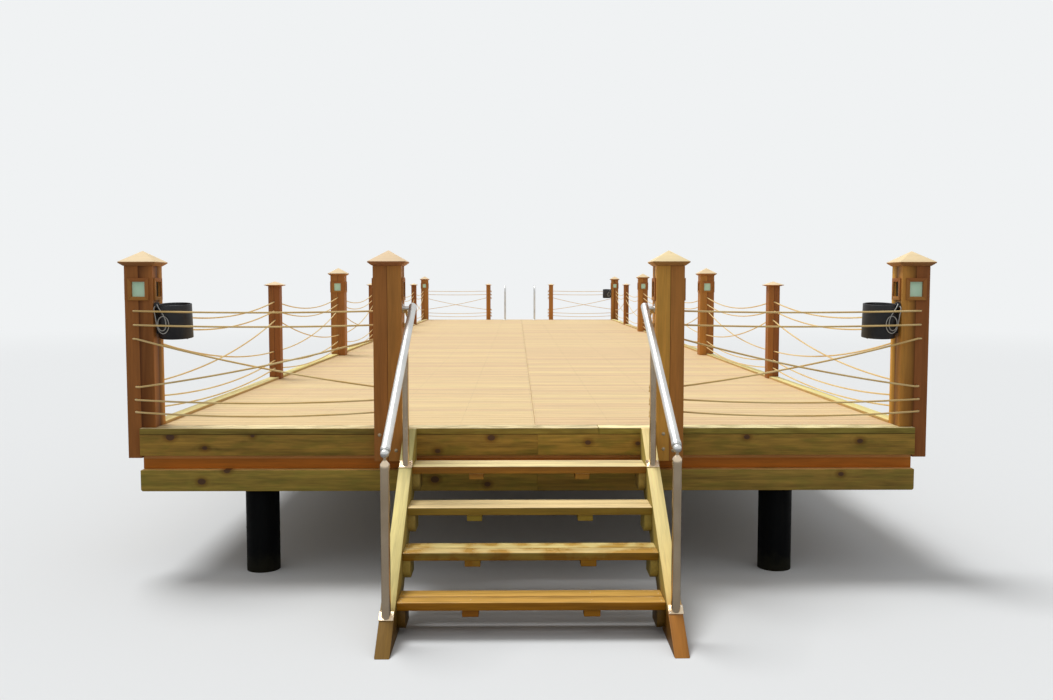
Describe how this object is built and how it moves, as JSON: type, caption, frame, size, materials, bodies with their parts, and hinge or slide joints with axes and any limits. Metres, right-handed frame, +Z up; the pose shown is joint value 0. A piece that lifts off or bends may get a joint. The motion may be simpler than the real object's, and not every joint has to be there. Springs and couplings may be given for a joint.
{
  "type": "wooden jetty with rope railings, lantern posts and a beach stair",
  "caption": "Bathing jetty of timber deck on steel piles, with rope railings on square posts, lantern heads, a front stair with steel handrails and a swimming ladder.",
  "frame": {"origin": "under the middle of the whole jetty at water level, where the piles and the stair's stringers meet the ground", "axes": "+Z up, +Y along the deck from the stair towards the swimming ladder, +X to the right when seen from the stair"},
  "size_m": [5.28, 21.534, 2.125],
  "materials": {
    "red_wood": "red-brown stained softwood, laminated posts and beams",
    "pine": "pale green-yellow impregnated pine with wet brown patches",
    "olive_pine": "olive-brown impregnated pine with knots",
    "deck_wood": "sun-bleached pale decking boards",
    "kerb_wood": "pale yellow planed pine",
    "cap_wood": "light orange oiled wood",
    "pile_steel": "black bitumen-coated steel, wet at the foot",
    "stainless": "polished stainless steel tube",
    "rope": "golden three-strand rope",
    "speaker_black": "black plastic drum",
    "lantern_pane": "pale green-white glass",
    "cord": "grey-white round cable"
  },
  "bodies": {
    "root": {"piles_left": "pile_steel", "piles_right": "pile_steel", "walers": "olive_pine", "head_beams": "red_wood", "joists": "pine", "rim_front": "olive_pine", "rim_back": "olive_pine", "rim_left": "olive_pine", "rim_right": "olive_pine", "deck_left": "deck_wood", "deck_right": "deck_wood", "kerb_left": "kerb_wood", "kerb_right": "kerb_wood", "corner_post_front_left": "red_wood", "corner_post_front_right": "red_wood", "corner_post_back_left": "red_wood", "corner_post_back_right": "red_wood", "stair_post_left": "red_wood", "stair_post_right": "red_wood", "side_posts_left": "red_wood", "side_posts_right": "red_wood", "small_posts_left": "red_wood", "small_posts_right": "red_wood", "end_posts": "red_wood", "big_post_caps": "cap_wood", "small_post_caps": "cap_wood", "lantern_frames": "cap_wood", "lantern_glass": "lantern_pane", "stringer_left": "pine", "stringer_right": "pine", "tread_1": "pine", "tread_2": "pine", "tread_3": "pine", "tread_4": "pine", "tread_cleats": "pine", "rail_posts_left": "stainless", "rail_posts_right": "stainless", "handrail_left": "stainless", "handrail_right": "stainless", "ropes_left": "rope", "ropes_right": "rope", "speakers": "speaker_black", "speaker_brackets": "speaker_black", "speaker_cords": "cord", "ladder_rails": "stainless", "ladder_rungs": "stainless"}
  },
  "joints": []
}
